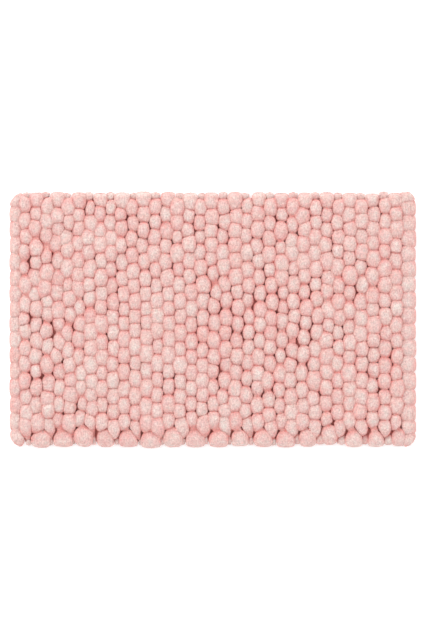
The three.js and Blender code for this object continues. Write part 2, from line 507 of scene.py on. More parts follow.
def press_limits(pebbles, neighbours=12):
    """The straight lines that hold each pebble in: one against each neighbour, then the mat's edges.

    Two pebbles share the gap between them in proportion to their sizes. Distances along X count
    for more by the stretch, because the rows keep the pebbles in columns. Each line is a normal
    and an offset: a point p from the pebble's middle is inside where normal . p < offset.
    """
    place = np.stack([pebbles["x"], pebbles["y"]], axis=-1)
    apart = place[None, :, :] - place[:, None, :]
    stretch = (pebbles["stretch"][None, :] + pebbles["stretch"][:, None]) / 2
    normal = apart * np.stack([stretch**2, np.ones_like(stretch)], axis=-1)
    spread = (normal * apart).sum(axis=-1)
    share = pebbles["size"][:, None] / (pebbles["size"][:, None] + pebbles["size"][None, :])
    np.fill_diagonal(spread, np.inf)
    near = np.argsort(spread, axis=1)[:, :neighbours]
    lines = np.arange(len(place))[:, None]
    normals = normal[lines, near]
    offsets = (share * spread)[lines, near]
    lengths = np.linalg.norm(normals, axis=-1)
    normals = normals / lengths[..., None]
    offsets = offsets / lengths

    pick = np.random.default_rng(29)
    corner = (HALF_LENGTH + HALF_WIDTH) * SLOPE
    reach = np.array([HALF_LENGTH, HALF_LENGTH, HALF_WIDTH, HALF_WIDTH, *(corner - CORNER_CUTS)])
    wobble = pick.uniform(0, 1, (len(place), EDGE_LINES)) * EDGE_WOBBLE
    is_front_bit = pebbles["bit"] & ~pebbles["end_row"] & (pebbles["y"] < 0)
    wobble = wobble + np.where(is_front_bit, FRONT_BIT_SET_BACK, 0)[:, None]
    edge_offsets = reach + EDGE_PROUD - wobble - place @ EDGE_NORMALS.T
    edge_normals = np.broadcast_to(EDGE_NORMALS, (len(place), EDGE_LINES, 2))
    return (
        np.concatenate([normals, edge_normals], axis=1),
        np.maximum(np.concatenate([offsets, edge_offsets], axis=1), LEAST_REACH),
    )


def reach_of(pebbles, limits, which, heading_x, heading_y):
    """How far pebble number which reaches from its middle in a heading, pressed and when free.

    One over a distance is a nearness, and several limits act as the root of the sum of the powers of
    their nearnesses, which is a soft least distance. Pressed, a pebble is held by its neighbours, the
    mat's edges and its own outline, an oval leaned a little. Free, it is held by its own outline and
    loosely by the edges.
    """
    normals, offsets = limits
    press = pebbles["press"][which]
    facing = heading_x[..., None] * normals[which, :, 0] + heading_y[..., None] * normals[which, :, 1]
    facing = np.maximum(facing, 0)
    nearness = facing / offsets[which]
    lean = pebbles["lean"][which]
    own_x = heading_x * np.cos(lean) + heading_y * np.sin(lean)
    own_y = heading_y * np.cos(lean) - heading_x * np.sin(lean)
    own = np.abs(own_x / pebbles["half_width"][which]) ** OWN_SHARPNESS
    own = own + np.abs(own_y / pebbles["half_length"][which]) ** OWN_SHARPNESS
    own_reach = own ** (-1 / OWN_SHARPNESS)
    eased = facing[..., -EDGE_LINES:] / (offsets[which][..., -EDGE_LINES:] + EDGE_EASE)
    free = (own + (eased**OWN_SHARPNESS).sum(axis=-1)) ** (-1 / OWN_SHARPNESS)
    edges = (nearness[..., -EDGE_LINES:] ** EDGE_SHARPNESS).sum(axis=-1) ** (1 / EDGE_SHARPNESS)
    pressed = (nearness[..., :-EDGE_LINES] ** SHARPNESS).sum(axis=-1) + edges**SHARPNESS
    return (pressed + own_reach**-SHARPNESS) ** (-1 / SHARPNESS) + press, free + press


def settle(pebbles, share=0.6, headings=48):
    """Moves each pebble part of the way to the middle of the area that it fills."""
    limits = press_limits(pebbles)
    count = len(pebbles["x"])
    angle = np.broadcast_to(np.arange(headings) * TURN / headings, (count, headings))
    which = np.broadcast_to(np.arange(count)[:, None], (count, headings))
    reach, _ = reach_of(pebbles, limits, which, np.cos(angle), np.sin(angle))
    area = (reach**2 / 2).sum(axis=1)
    pebbles["x"] = pebbles["x"] + share * (reach**3 * np.cos(angle) / 3).sum(axis=1) / area
    pebbles["y"] = pebbles["y"] + share * (reach**3 * np.sin(angle) / 3).sum(axis=1) / area


# ================================================================ the skin of a row
POLE_ANGLE = 0.10  # where a row's first and last rings lie, in radians from its poles
CROWN_CROWDING = 0.36  # how much closer together the skin's points lie on the crown
EDGE_SHADE_EASING = 0.80  # how much the painted shade on the pebbles' sides is eased off along the mat's edges, where light falls in
# How much the painted shade is eased off on the end rows, and the most it reaches there
END_ROW_SHADE_EASING = 0.40
END_ROW_SHADE_LIMIT = 0.45
LUMPS = [(0.30 * MM, 11.0 * MM, 71), (0.12 * MM, 4.5 * MM, 171)]  # height, wavelength, first seed
PLEATS = 0.30 * MM
END_ROW_ROLL = 0.10


def row_skin(index, pebbles, limits, tie_tops, skins):
    """One row of roving as a closed tube, from the back edge to the front edge.

    A pebble is a unit ball whose poles lie at its two ties. A point of the ball at angle a round the
    row and angle p from the back tie is (sin p cos a, cos p, sin p sin a). In plan it is stretched
    to the pebble's reach in its heading, and in height to the crown or the foot. The poles are left
    out, so that the tube runs on through each tie. Each point's shade depth, which the material
    paints as shade, is 0 on the top of a crown, 1 at the widest level and 2 at the foot, and less
    along the mat's edges. tie_tops takes the top of the row at each tie, and skins takes the row's
    points as (ring, side, 3) with the tint of each ring.
    """
    members = np.flatnonzero(pebbles["row"] == index)
    count = len(members)
    is_end_row = bool(pebbles["end_row"][members[0]])

    neck = math.asin(END_ROW_NECK_SHARE if is_end_row else NECK_SHARE)
    start = np.full(count, neck)
    finish = np.full(count, math.pi - neck)
    start[0] = POLE_ANGLE
    finish[-1] = math.pi - POLE_ANGLE
    share = np.linspace(0, 1, RINGS)
    polar = start[:, None] + (finish - start)[:, None] * share
    turn = np.arange(SIDES) / SIDES
    around = -TURN / 4 + TURN * (turn + CROWN_CROWDING * np.sin(TURN * turn) / TURN)

    polar = polar[:, :, None]
    ball_x = np.sin(polar) * np.cos(around)
    ball_y = np.cos(polar) + 0 * around
    ball_z = np.sin(polar) * np.sin(around)
    points, up = shape_pebbles(index, members, pebbles, limits, ball_x, ball_y, ball_z)
    pole_y = np.array([1.0, -1.0]).reshape(2, 1, 1)
    poles, _ = shape_pebbles(index, members[[0, -1]], pebbles, limits, 0 * pole_y, pole_y, 0 * pole_y)
    crests = points[:, :, SIDES // 2]
    tie_tops[index] = (crests[:-1, -1] + crests[1:, 0]) / 2
    rings = count * RINGS
    all_points = np.concatenate([points.reshape(-1, 3), poles.reshape(-1, 3)])
    quads, triangles = tube_faces(rings, SIDES)

    tint = np.repeat(pebbles["tint"][members], RINGS * SIDES)
    # The depth below the crown masks the painted shade: held lower on the end rows, and eased off near
    # the mat's front and back edges, where light falls in
    if is_end_row:
        shade_depth = np.minimum((1 - up) * (1 - END_ROW_SHADE_EASING), END_ROW_SHADE_LIMIT)
    else:
        rim = smooth_step(-16 * MM, -4 * MM, np.abs(points[..., 1]) - HALF_WIDTH)
        shade_depth = (1 - up) * (1 - EDGE_SHADE_EASING * rim)
    attributes = {
        "tint": np.concatenate([tint, pebbles["tint"][members[[0, -1]]]]),
        "shade_depth": np.concatenate([shade_depth.reshape(-1), [0.2, 0.2]]),
    }
    skin = points.reshape(rings, SIDES, 3)
    skins[index] = (skin, np.repeat(pebbles["tint"][members], RINGS))
    return make_mesh(
        f"roving_row_{index + 1:02d}", all_points, quads, triangles, row_uv_maps(skin), attributes
    )


def shape_pebbles(index, members, pebbles, limits, ball_x, ball_y, ball_z):
    """Stretches unit balls into the pebbles that they stand for: their points, and how far up.

    Up is 1 at the top of a crown, 0 at the widest level and -1 at the foot. A crown is the dome
    (1 - (out / spread)^2)^power, cut off by the wall (1 - out^power)^(1 / power) where a neighbour
    presses on it. A foot is the lower half of a ball with its powers raised, so it stands squarely.
    """
    everyone = np.flatnonzero(pebbles["row"] == index)
    chosen = np.searchsorted(everyone, members)
    forward = np.arctan2(np.diff(pebbles["x"][everyone]), -np.diff(pebbles["y"][everyone]))
    back_turn = np.concatenate([[0], forward])[chosen][:, None, None]
    front_turn = np.concatenate([forward, [0]])[chosen][:, None, None]
    which = np.broadcast_to(members[:, None, None], ball_x.shape)

    # Each half of a pebble turns its tie towards the next pebble of the row
    heading = np.arctan2(ball_y, ball_x)
    towards_back = (1 + np.sin(heading)) / 2
    heading = heading + back_turn * towards_back + front_turn * (1 - towards_back)
    heading_x = np.cos(heading)
    heading_y = np.sin(heading)
    reach, free = reach_of(pebbles, limits, which, heading_x, heading_y)

    # The crown is the free pebble's dome, cut short where a neighbour presses on it
    is_crown = ball_z > 0
    is_end_row = pebbles["end_row"][members][:, None, None]
    out = np.sqrt(np.minimum(ball_x**2 + ball_y**2, 1))
    dome = np.clip(1 - (reach * out / (DOME_SPREAD * free)) ** 2, 0, 1) ** DOME_POWER
    pinch = np.where(is_end_row, END_ROW_PINCH, PINCH)
    dome = dome * (1 - pinch * smooth_step(0.72, 0.94, np.abs(ball_y)))
    wall = np.clip(1 - out**WALL_POWER, 0, 1) ** (1 / WALL_POWER)
    foot_out = out ** (2 / FOOT_POWER)
    foot_down = -np.abs(np.clip(ball_z, -1, 0)) ** (2 / FOOT_POWER)
    up = np.where(is_crown, dome * wall, foot_down)
    out = np.where(is_crown, out, foot_out)

    foot = np.where(is_end_row, END_ROW_FOOT, PEBBLE_FOOT)
    top = pebbles["top"][members][:, None, None]
    equator = foot + (top - foot) * np.where(is_end_row, END_ROW_EQUATOR, EQUATOR)
    rise = np.where(is_crown, top - equator, equator - foot)

    plan_x = pebbles["x"][members][:, None, None] + reach * out * heading_x
    plan_y = pebbles["y"][members][:, None, None] + reach * out * heading_y
    height = equator + rise * up

    # Past the edge of the cloth the roving hangs down towards the floor
    hang = smooth_step(CLOTH_HIGH[1] + 4 * MM, HALF_WIDTH - 1 * MM, np.abs(plan_y))
    hang = np.where(is_end_row, 0, hang) * np.clip(0.5 - 0.5 * up, 0, 1)
    height = height - hang * (PEBBLE_FOOT - EDGE_FOOT)

    # Lumps in the soft roving, and pleats that gather towards the ties
    place = np.stack([plan_x, plan_y, height], axis=-1)
    crown = np.sqrt(np.clip(up, 0, 1))
    lumps = sum(size * ripples(place, length, seed + index) * crown for size, length, seed in LUMPS)
    around = np.arctan2(ball_z, ball_x)
    pick = np.random.default_rng(900 + index)
    phase = pick.uniform(0, TURN, (len(everyone), 2))[chosen][:, :, None, None]
    pleats = np.sin(9 * around + phase[:, 0]) + 0.8 * np.sin(13 * around + phase[:, 1])
    is_bit = pebbles["bit"][members][:, None, None]
    gather = (0.25 + 0.75 * ball_y**2) * np.where(is_bit, 0.3, 1)
    pleats = PLEATS * pleats * gather * crown
    swell = (lumps + pleats) / (10 * MM)

    # The end rows roll outwards, so their crowns lean towards the middle of the mat
    roll = np.where(is_end_row, END_ROW_ROLL * (height - foot), 0) * -np.sign(plan_x)
    plan_x = plan_x + reach * out * heading_x * swell + roll
    plan_y = plan_y + reach * out * heading_y * swell
    height = height + rise * up * swell
    return np.stack([plan_x, plan_y, height], axis=-1), up


ROW_GIRTH = 66 * MM  # once round the roving
BAKE_STRIPS = 3
BAKE_MARGIN = 0.004
CAP_LINE = 0.985  # where the discs of the caps lie on the bake map
CAP_RADIUS = 0.010


def row_uv_maps(rings):
    """Two maps of a row: roving, in metres round and along it, and OFBake, which fills 0 to 1.

    OFBake cuts the tube open along its foot and lays it in strips side by side, with the caps as
    two small discs above them.
    """
    number, sides = rings.shape[:2]
    along_steps = np.linalg.norm(np.diff(rings[:, sides // 2], axis=0), axis=1)
    along = np.concatenate([[0], np.cumsum(along_steps)])
    turn = np.arange(sides + 1) / sides
    shape = (number - 1, sides)
    turn_low = np.broadcast_to(turn[:-1], shape)
    turn_high = np.broadcast_to(turn[1:], shape)

    def corners(u_low, u_high, v_low, v_high):
        """The four corners of every face, in the order of tube_faces."""
        v_low = np.broadcast_to(v_low[:, None], shape)
        v_high = np.broadcast_to(v_high[:, None], shape)
        return np.stack([
            np.stack([u_low, v_low], axis=-1),
            np.stack([u_high, v_low], axis=-1),
            np.stack([u_high, v_high], axis=-1),
            np.stack([u_low, v_high], axis=-1),
        ], axis=-2).reshape(-1, 2)

    def cap(first, second, rim_v, pole_v):
        """A cap's triangles on the roving map: from one point of the rim to the next, and the pole."""
        u = np.stack([first, second, (first + second) / 2], axis=-1) * ROW_GIRTH
        v = np.broadcast_to([rim_v, rim_v, pole_v], u.shape)
        return np.stack([u, v], axis=-1).reshape(-1, 2)

    roving = np.concatenate([
        corners(turn_low * ROW_GIRTH, turn_high * ROW_GIRTH, along[:-1], along[1:]),
        cap(turn[1:], turn[:-1], 0, -MM),
        cap(turn[:-1], turn[1:], along[-1], along[-1] + MM),
    ])

    per_strip = -(-number // BAKE_STRIPS)
    strip = np.arange(number - 1) // per_strip
    strip_rings = np.minimum(np.arange(BAKE_STRIPS + 1) * per_strip, number - 1)
    strip_start = along[strip_rings[:-1]]
    longest = (along[strip_rings[1:]] - strip_start).max()
    high = CAP_LINE - 1.5 * CAP_RADIUS - 2 * BAKE_MARGIN

    def across(value):
        """A turn round the tube as a place across its own strip."""
        margin = BAKE_MARGIN * BAKE_STRIPS
        return (strip[:, None] + margin + (1 - 2 * margin) * value) / BAKE_STRIPS

    def down(value):
        """A length along the row as a place along its own strip."""
        return BAKE_MARGIN + high * (value - strip_start[strip]) / longest

    def disc(middle_u, first, second):
        """A small disc of triangles round (middle_u, CAP_LINE)."""
        middle = np.broadcast_to([middle_u, CAP_LINE], (sides, 2))
        rim = [
            middle + CAP_RADIUS * np.stack([np.cos(TURN * t), np.sin(TURN * t)], axis=-1)
            for t in (first, second)
        ]
        return np.stack([*rim, middle], axis=1).reshape(-1, 2)

    bake = np.concatenate([
        corners(across(turn_low), across(turn_high), down(along[:-1]), down(along[1:])),
        disc(2 * CAP_RADIUS, turn[1:], turn[:-1]),
        disc(6 * CAP_RADIUS, turn[:-1], turn[1:]),
    ])
    return {"roving": roving, "OFBake": bake}


FIBRE_PIECES = 2
FIBRES_PER_ROW = 1000
FIBRE_RADIUS = 0.11 * MM
FIBRE_LENGTHS = (1.5 * MM, 5.5 * MM)
FIBRE_TILTS = (0.35, 1.30)  # away from the skin's normal, in radians
FIBRE_ROOT_DEPTH = 0.2 * MM
EDGE_FIBRE_SHARE = 0.12  # of a row's fibres, on the ends of the row


def tease_fibres(name, skins, seed):
    """Loose fibres that stand out of the roving: thin three-sided needles, bent over a little.

    From its root, a needle runs along the skin in a random heading T and out along the normal N:
    root + length (t sin a T + (t - t^2 / 2) cos a N), with t from 0 at the root to 1 at the tip.
    """
    pick = np.random.default_rng(seed)
    roots, normals, tints = [], [], []
    for rings, ring_tints in skins:
        along = np.gradient(rings, axis=0)
        round_it = np.roll(rings, -1, axis=1) - np.roll(rings, 1, axis=1)
        normal = np.cross(round_it, along)
        normal /= np.maximum(np.linalg.norm(normal, axis=-1, keepdims=True), 1e-12)
        ring = pick.integers(1, len(rings) - 1, FIBRES_PER_ROW)
        at_edge = pick.uniform(size=FIBRES_PER_ROW) < EDGE_FIBRE_SHARE
        ring = np.where(at_edge, np.where(ring % 2, 3, len(rings) - 4), ring)
        turn = 0.5 + 0.30 * pick.uniform(-1, 1, FIBRES_PER_ROW)
        side = (SIDES * turn).astype(int) % SIDES
        roots.append(rings[ring, side])
        normals.append(normal[ring, side])
        tints.append(ring_tints[ring])
    root, normal, tint = (np.concatenate(values) for values in (roots, normals, tints))
    count = len(root)

    heading = pick.normal(size=(count, 3))
    heading -= normal * (heading * normal).sum(axis=1, keepdims=True)
    heading /= np.linalg.norm(heading, axis=1, keepdims=True)
    across = np.cross(normal, heading)
    tilt = pick.uniform(*FIBRE_TILTS, count)[:, None]
    shortest, longest = FIBRE_LENGTHS
    length = shortest + (longest - shortest) * pick.uniform(size=count)[:, None] ** 1.5
    steps = np.array([0, 0.5, 1.0])[:, None, None]
    path = root - FIBRE_ROOT_DEPTH * normal + length * (
        steps * np.sin(tilt) * heading + (steps - steps**2 / 2) * np.cos(tilt) * normal
    )
    angle = TURN * np.arange(3) / 3
    ring = across[:, None] * np.cos(angle)[:, None] + normal[:, None] * np.sin(angle)[:, None]
    points = np.concatenate([
        path[0][:, None] + FIBRE_RADIUS * ring,
        path[1][:, None] + 0.8 * FIBRE_RADIUS * ring,
        path[2][:, None],
    ], axis=1)

    first = 7 * np.arange(count)[:, None, None]
    quads = (np.array([(0, 1, 4, 3), (1, 2, 5, 4), (2, 0, 3, 5)]) + first).reshape(-1, 4)
    triangles = (np.array([(2, 1, 0), (3, 4, 6), (4, 5, 6), (5, 3, 6)]) + first).reshape(-1, 3)

    # Each needle has its own cell of the map: three strips, their tips above, the root beside
    cells = math.ceil(math.sqrt(count))
    cell = np.stack([np.arange(count) % cells, np.arange(count) // cells], axis=-1)[:, None, None]
    left, right = np.array([0.05, 0.27, 0.49]), np.array([0.25, 0.47, 0.69])
    low, mid, high = 0.06 + 0 * left, 0.50 + 0 * left, 0.92 + 0 * left
    strips = np.stack([
        np.stack([left, low], -1), np.stack([right, low], -1),
        np.stack([right, mid], -1), np.stack([left, mid], -1),
    ], axis=1)
    tips = np.stack([
        np.stack([left, mid + 0.04], -1), np.stack([right, mid + 0.04], -1),
        np.stack([(left + right) / 2, high], -1),
    ], axis=1)
    base = np.array([[(0.75, 0.06), (0.95, 0.06), (0.85, 0.40)]])
    strips = ((strips + cell) / cells).reshape(-1, 2)
    tips = ((np.concatenate([base, tips]) + cell) / cells).reshape(-1, 2)
    uv_maps = {"OFBake": np.concatenate([strips, tips])}
    return make_mesh(
        name, points.reshape(-1, 3), quads, triangles, uv_maps, {"tint": np.repeat(tint, 7)}
    )


# ================================================================ materials
def set_inputs(tree, made, inputs):
    """Sets each input of a node to a value, or joins it to a socket."""
    for key, value in inputs.items():
        if isinstance(value, bpy.types.NodeSocket):
            tree.links.new(value, made.inputs[key])
        else:
            made.inputs[key].default_value = value


def node(tree, kind, inputs=None, **settings):
    """A shader node with its settings and its inputs."""
    made = tree.nodes.new("ShaderNode" + kind)
    for key, value in settings.items():
        setattr(made, key, value)
    set_inputs(tree, made, inputs or {})
    return made


def new_group(name, inputs, outputs):
    """An empty node group with named sockets: (name, kind, default) in, (name, kind) out."""
    tree = bpy.data.node_groups.new(name, "ShaderNodeTree")
    for socket_name, kind, default in inputs:
        socket = tree.interface.new_socket(socket_name, in_out="INPUT", socket_type="NodeSocket" + kind)
        if default is not None:
            socket.default_value = default
    for socket_name, kind in outputs:
        tree.interface.new_socket(socket_name, in_out="OUTPUT", socket_type="NodeSocket" + kind)
    start = tree.nodes.new("NodeGroupInput")
    end = tree.nodes.new("NodeGroupOutput")
    return tree, start.outputs, end


def place_group(tree, group, inputs):
    """A node group placed in a material with its own values: its outputs."""
    made = tree.nodes.new("ShaderNodeGroup")
    made.node_tree = group
    set_inputs(tree, made, inputs)
    return made.outputs


def maths(tree, operation, *values):
    """One Math node: its output."""
    return node(tree, "Math", dict(enumerate(values)), operation=operation).outputs[0]


def add_share(tree, value, factor, rest):
    """value times factor, plus the rest."""
    return maths(tree, "MULTIPLY_ADD", value, factor, rest)


def spread(tree, value, low, high):
    """A value's range from low to high stretched to 0 to 1, and clamped."""
    return node(tree, "MapRange", {
        "Value": value, "From Min": low, "From Max": high, "To Min": 0.0, "To Max": 1.0,
    }).outputs[0]


def blend_colours(tree, share, first, second, mode="MIX"):
    """A colour mix, by a share from 0 to 1."""
    made = node(tree, "Mix", data_type="RGBA", blend_type=mode)
    set_inputs(tree, made, {0: share, 6: first, 7: second})
    return made.outputs[2]


def bump(tree, strength, distance, height):
    """The normals of a height."""
    inputs = {"Strength": strength, "Distance": distance, "Height": height}
    return node(tree, "Bump", inputs).outputs[0]


def object_place(tree):
    """The place in metres on a piece."""
    return node(tree, "TexCoord").outputs["Object"]


def new_material(name):
    """An empty material with a Principled shader, and its tree."""
    material = bpy.data.materials.new(name)
    material.use_nodes = True
    tree = material.node_tree
    tree.nodes.clear()
    shader = node(tree, "BsdfPrincipled")
    node(tree, "OutputMaterial", {0: shader.outputs[0]})
    return material, tree, shader


def build_fibre_group():
    """Fine fibres that run along a yarn: streaks and a height, from the yarn's own map in metres."""
    tree, given, end = new_group(
        "yarn fibres",
        [("Place", "Vector", None), ("Fibres per metre", "Float", 900.0), ("Run", "Float", 0.12),
         ("Seed", "Float", 0.0)],
        [("Streaks", "Float"), ("Height", "Float")],
    )
    parts = node(tree, "SeparateXYZ", {0: given["Place"]}).outputs
    across = maths(tree, "MULTIPLY", parts[0], given["Fibres per metre"])
    run = maths(tree, "MULTIPLY", given["Fibres per metre"], given["Run"])
    along = maths(tree, "MULTIPLY", parts[1], run)
    spot = node(tree, "CombineXYZ", {0: across, 1: along, 2: given["Seed"]})
    noise = node(tree, "TexNoise", {
        "Vector": spot.outputs[0], "Scale": 1.0, "Detail": 3.0, "Roughness": 0.6, "Distortion": 0.5,
    }).outputs[0]
    set_inputs(tree, end, {"Streaks": spread(tree, noise, 0.3, 0.7), "Height": noise})
    return tree


def build_mottle_group():
    """Soft cloudy patches with small flecks in them, from a place in metres."""
    tree, given, end = new_group(
        "dye mottle",
        [("Place", "Vector", None), ("Cloud size", "Float", 6.0), ("Fleck size", "Float", 1.6),
         ("Seed", "Float", 0.0)],
        [("Clouds", "Float"), ("Flecks", "Float")],
    )
    shift = node(tree, "CombineXYZ", {0: given["Seed"], 1: 0.0, 2: given["Seed"]})
    spot = node(tree, "VectorMath", {0: given["Place"], 1: shift.outputs[0]}, operation="ADD")
    for name, size, roughness in (("Clouds", "Cloud size", 0.5), ("Flecks", "Fleck size", 0.65)):
        scale = maths(tree, "DIVIDE", 1000.0, given[size])
        noise = node(tree, "TexNoise", {
            "Vector": spot.outputs[0], "Scale": scale, "Detail": 2.0, "Roughness": roughness,
        }).outputs[0]
        set_inputs(tree, end, {name: spread(tree, noise, 0.34, 0.66)})
    return tree


def build_weave_group():
    """Plain weave: threads that pass over and under each other, from a place in metres.

    The height is half of one plus the product of two sines, so that raised floats alternate.
    """
    tree, given, end = new_group(
        "plain weave",
        [("Place", "Vector", None), ("Threads per metre", "Float", 450.0)],
        [("Floats", "Float")],
    )
    parts = node(tree, "SeparateXYZ", {0: given["Place"]}).outputs
    pace = maths(tree, "MULTIPLY", given["Threads per metre"], math.pi)
    waves = [maths(tree, "SINE", maths(tree, "MULTIPLY", parts[axis], pace)) for axis in (0, 1)]
    product = maths(tree, "MULTIPLY", *waves)
    set_inputs(tree, end, {"Floats": add_share(tree, product, 0.5, 0.5)})
    return tree


ROVING_PALE = (0.990, 0.830, 0.770, 1)
ROVING_PINK = (0.980, 0.460, 0.410, 1)
ROVING_MAUVE = (0.975, 0.480, 0.490, 1)
# Painted shade: the colours that the creases and the holes between the pebbles are painted with
ROVING_CREASE_SHADE = (0.985, 0.345, 0.300, 1)
ROVING_HOLE_SHADE = (0.970, 0.120, 0.100, 1)  # painted shade inside the holes between the pebbles, red as light that comes through the fibres would be
CLOTH_COLOURS = ((0.90, 0.44, 0.39, 1), (0.82, 0.26, 0.22, 1))
CORD_COLOURS = ((0.90, 0.62, 0.56, 1), (0.76, 0.40, 0.35, 1))
WARP_COLOURS = ((0.93, 0.38, 0.34, 1), (0.90, 0.24, 0.21, 1))
THREAD_COLOURS = ((0.93, 0.72, 0.67, 1), (0.86, 0.58, 0.53, 1))
LATEX_COLOURS = ((0.82, 0.74, 0.64, 1), (0.90, 0.85, 0.77, 1))
LABEL_COLOURS = ((0.84, 0.83, 0.80, 1), (0.93, 0.92, 0.90, 1))


def make_roving_material(fibres, mottle):
    """Loose brushed roving: pale and pink fibres mixed, with painted shade that turns it pinker down the
    sides and deep pink and red in the creases and holes, and a soft bloom.
    """
    material, tree, shader = new_material("pink_roving")
    own_map = node(tree, "UVMap", uv_map="roving").outputs[0]
    place = object_place(tree)
    tint = node(tree, "Attribute", attribute_name="tint").outputs["Fac"]
    # The point's depth below its crown masks the painted shade
    shade_depth = node(tree, "Attribute", attribute_name="shade_depth").outputs["Fac"]
    threads = place_group(tree, fibres, {"Place": own_map, "Fibres per metre": 520.0, "Run": 0.22})
    dye = place_group(tree, mottle, {"Place": place, "Cloud size": 9.0, "Fleck size": 3.2})
    hue = place_group(tree, mottle, {"Place": place, "Cloud size": 14.0, "Fleck size": 5.0, "Seed": 3.1})

    # How pink it is: patches, flecks, streaks, the pebble's own tint and painted shade down its sides and
    # in its creases, added up
    share = add_share(tree, dye["Clouds"], 0.34, 0.055)
    share = add_share(tree, dye["Flecks"], 0.13, share)
    share = add_share(tree, threads["Streaks"], 0.10, share)
    share = add_share(tree, tint, 0.075, share)
    share = node(tree, "Clamp", {0: add_share(tree, shade_depth, 0.37, share)}).outputs[0]
    mauve = maths(tree, "MULTIPLY", hue["Clouds"], 0.7)
    pink = blend_colours(tree, mauve, ROVING_PINK, ROVING_MAUVE)
    colour = blend_colours(tree, share, ROVING_PALE, pink)

    # Painted shade in the creases, stronger in some patches than in others, and red painted shade inside
    # the holes between the pebbles
    patches = add_share(tree, hue["Clouds"], 0.8, 0.4)
    crease = maths(tree, "MULTIPLY", spread(tree, shade_depth, 0.06, 1.0), patches)
    colour = blend_colours(tree, crease, colour, ROVING_CREASE_SHADE)
    colour = blend_colours(tree, spread(tree, shade_depth, 0.75, 1.15), colour, ROVING_HOLE_SHADE)

    # The fibres shade each other a little
    shade = add_share(tree, threads["Streaks"], -0.19, 1.015)
    shade = add_share(tree, dye["Flecks"], -0.22, shade)
    colour = blend_colours(tree, 1.0, colour, shade, "MULTIPLY")
    height = add_share(tree, dye["Flecks"], 0.8, threads["Height"])
    set_inputs(tree, shader, {
        "Base Color": colour,
        "Normal": bump(tree, 0.9, 0.9 * MM, height),
        "Roughness": 0.95,
        "Specular IOR Level": 0.15,
        "Sheen Weight": 0.25,
        "Sheen Roughness": 0.5,
        "Sheen Tint": (1.0, 0.9, 0.88, 1),
        "Subsurface Weight": 0.1,
        "Subsurface Radius": (1.0, 0.3, 0.25),
        "Subsurface Scale": 4 * MM,
    })
    return material


def make_bloom_material(mottle):
    """The loose fibres: pale and pink, mottled as the roving is."""
    material, tree, shader = new_material("loose_fibre")
    tint = node(tree, "Attribute", attribute_name="tint").outputs["Fac"]
    dye = place_group(tree, mottle, {
        "Place": object_place(tree), "Cloud size": 9.0, "Fleck size": 3.2, "Seed": tint,
    })
    set_inputs(tree, shader, {
        "Base Color": blend_colours(tree, dye["Flecks"], ROVING_PALE, ROVING_PINK),
        "Roughness": 0.9,
        "Specular IOR Level": 0.15,
        "Subsurface Weight": 0.3,
        "Subsurface Radius": (1.0, 0.35, 0.3),
        "Subsurface Scale": 2 * MM,
    })
    return material


def make_cloth_material(mottle, weave):
    """The ground cloth and the hems: plain-woven pink cotton."""
    material, tree, shader = new_material("pink_cloth")
    place = object_place(tree)
    floats = place_group(tree, weave, {"Place": place, "Threads per metre": 420.0})["Floats"]
    dye = place_group(tree, mottle, {"Place": place, "Cloud size": 14.0, "Fleck size": 1.5, "Seed": 0.3})
    share = add_share(tree, dye["Flecks"], 0.45, 0.35)
    share = add_share(tree, floats, -0.25, share)
    height = add_share(tree, dye["Flecks"], 0.25, floats)
    set_inputs(tree, shader, {
        "Base Color": blend_colours(tree, share, *CLOTH_COLOURS),
        "Normal": bump(tree, 0.6, 0.5 * MM, height),
        "Roughness": 0.95,
        "Specular IOR Level": 0.2,
    })
    return material


def make_yarn_material(name, fibres, colours, fibres_per_metre, roughness):
    """A spun yarn or thread with fine twisted streaks along it."""
    material, tree, shader = new_material(name)
    own_map = node(tree, "UVMap", uv_map="yarn").outputs[0]
    threads = place_group(tree, fibres, {
        "Place": own_map, "Fibres per metre": fibres_per_metre, "Run": 0.15, "Seed": 2.0,
    })
    set_inputs(tree, shader, {
        "Base Color": blend_colours(tree, threads["Streaks"], *colours),
        "Normal": bump(tree, 0.5, 0.2 * MM, threads["Height"]),
        "Roughness": roughness,
    })
    return material


def make_latex_material(mottle, weave):
    """Sprayed anti-slip latex: off-white, with the weave showing through and fine bubbles."""
    material, tree, shader = new_material("sprayed_latex")
    place = object_place(tree)
    floats = place_group(tree, weave, {"Place": place, "Threads per metre": 240.0})["Floats"]
    skin = place_group(tree, mottle, {"Place": place, "Cloud size": 22.0, "Fleck size": 1.2, "Seed": 1.7})
    share = maths(tree, "MULTIPLY", skin["Clouds"], 0.5)
    share = add_share(tree, floats, 0.3, share)
    height = add_share(tree, skin["Flecks"], 0.35, floats)
    set_inputs(tree, shader, {
        "Base Color": blend_colours(tree, share, *LATEX_COLOURS),
        "Roughness": add_share(tree, skin["Flecks"], 0.25, 0.5),
        "Normal": bump(tree, 0.7, 0.6 * MM, height),
    })
    return material


def make_label_material(weave):
    """Blank white satin tape with a fine weave."""
    material, tree, shader = new_material("white_satin")
    place = object_place(tree)
    floats = place_group(tree, weave, {"Place": place, "Threads per metre": 1800.0})["Floats"]
    set_inputs(tree, shader, {
        "Base Color": blend_colours(tree, floats, *LABEL_COLOURS),
        "Normal": bump(tree, 0.3, 0.1 * MM, floats),
        "Roughness": 0.5,
    })
    return material


